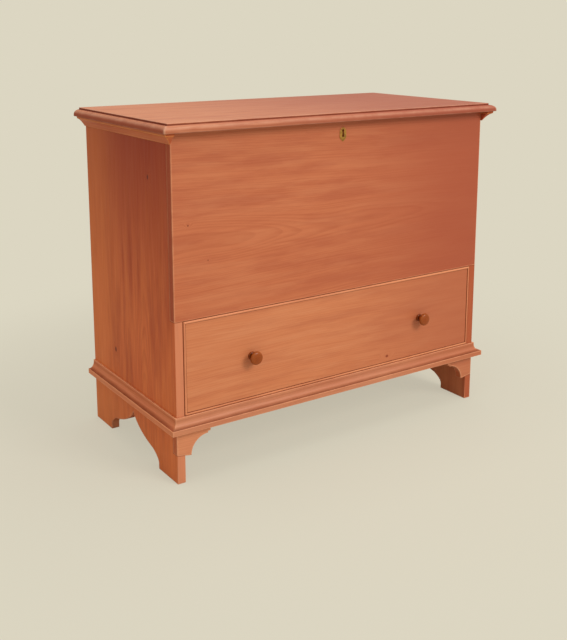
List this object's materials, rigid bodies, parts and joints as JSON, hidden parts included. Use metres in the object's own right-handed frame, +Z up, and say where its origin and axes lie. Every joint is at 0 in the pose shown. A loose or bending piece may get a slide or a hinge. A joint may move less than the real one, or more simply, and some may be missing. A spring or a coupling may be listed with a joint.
{
  "type": "mule chest",
  "caption": "Boarded chest with a hinged moulded lid over a long beaded drawer, on sawn side feet with front brackets and a mitred base moulding.",
  "frame": {"origin": "middle of the bounding box on the floor under the feet", "axes": "+X to the right along the front, +Y from the front to the back, +Z up"},
  "size_m": [1.062, 0.537, 0.8952],
  "materials": {
    "stained_pine": "red-brown stain under a worn wax polish",
    "drawer_pine": "lighter red-brown stain under a worn wax polish",
    "bare_pine": "bare, aged",
    "turned_maple": "dark stain, hand-polished",
    "brass": "old, unpolished",
    "iron": "blackened"
  },
  "bodies": {
    "case": {"back_board_lower": "bare_pine", "back_board_upper": "bare_pine", "base_moulding_front": "stained_pine", "base_moulding_left": "stained_pine", "base_moulding_right": "stained_pine", "chest_floor": "bare_pine", "drawer_runner_left": "bare_pine", "drawer_runner_right": "bare_pine", "drawer_stop_left": "bare_pine", "drawer_stop_right": "bare_pine", "escutcheon_pin_bottom": "brass", "escutcheon_pin_top": "brass", "front_bracket_left": "stained_pine", "front_bracket_right": "stained_pine", "front_panel": "stained_pine", "front_rail": "stained_pine", "hinge_case_leaf_left": "iron", "hinge_case_leaf_right": "iron", "hinge_case_screw_left_1": "iron", "hinge_case_screw_left_2": "iron", "hinge_case_screw_right_1": "iron", "hinge_case_screw_right_2": "iron", "hinge_pin_left": "iron", "hinge_pin_right": "iron", "keyhole_escutcheon": "brass", "lock_case": "iron", "lock_screw_1": "iron", "lock_screw_2": "iron", "lock_screw_3": "iron", "lock_screw_4": "iron", "side_board_left": "stained_pine", "side_board_right": "stained_pine"},
    "lid": {"catch_screw_1": "iron", "catch_screw_2": "iron", "hinge_lid_leaf_left": "iron", "hinge_lid_leaf_right": "iron", "hinge_lid_screw_left_1": "iron", "hinge_lid_screw_left_2": "iron", "hinge_lid_screw_right_1": "iron", "hinge_lid_screw_right_2": "iron", "lid_board": "stained_pine", "lid_catch": "iron", "lid_cleat_left": "stained_pine", "lid_cleat_right": "stained_pine"},
    "drawer": {"drawer_back": "bare_pine", "drawer_bead_bottom": "drawer_pine", "drawer_bead_left": "drawer_pine", "drawer_bead_right": "drawer_pine", "drawer_bead_top": "drawer_pine", "drawer_bottom": "bare_pine", "drawer_front": "drawer_pine", "drawer_knob_left": "turned_maple", "drawer_knob_right": "turned_maple", "drawer_side_left": "bare_pine", "drawer_side_right": "bare_pine"},
    "lock_bolt": {"lock_bolt": "iron"}
  },
  "joints": [
    {"name": "lid_hinge", "type": "hinge", "parent": "case", "child": "lid", "pos_m": [0, 0.264, 0.87255], "axis": [-1, 0, 0], "range_deg": [0, 105]},
    {"name": "drawer_slide", "type": "slide", "parent": "case", "child": "drawer", "axis": [0, -1, 0], "range_m": [0, 0.36]},
    {"name": "bolt_slide", "type": "slide", "parent": "case", "child": "lock_bolt", "axis": [1, 0, 0], "range_m": [0, 0.007]}
  ]
}
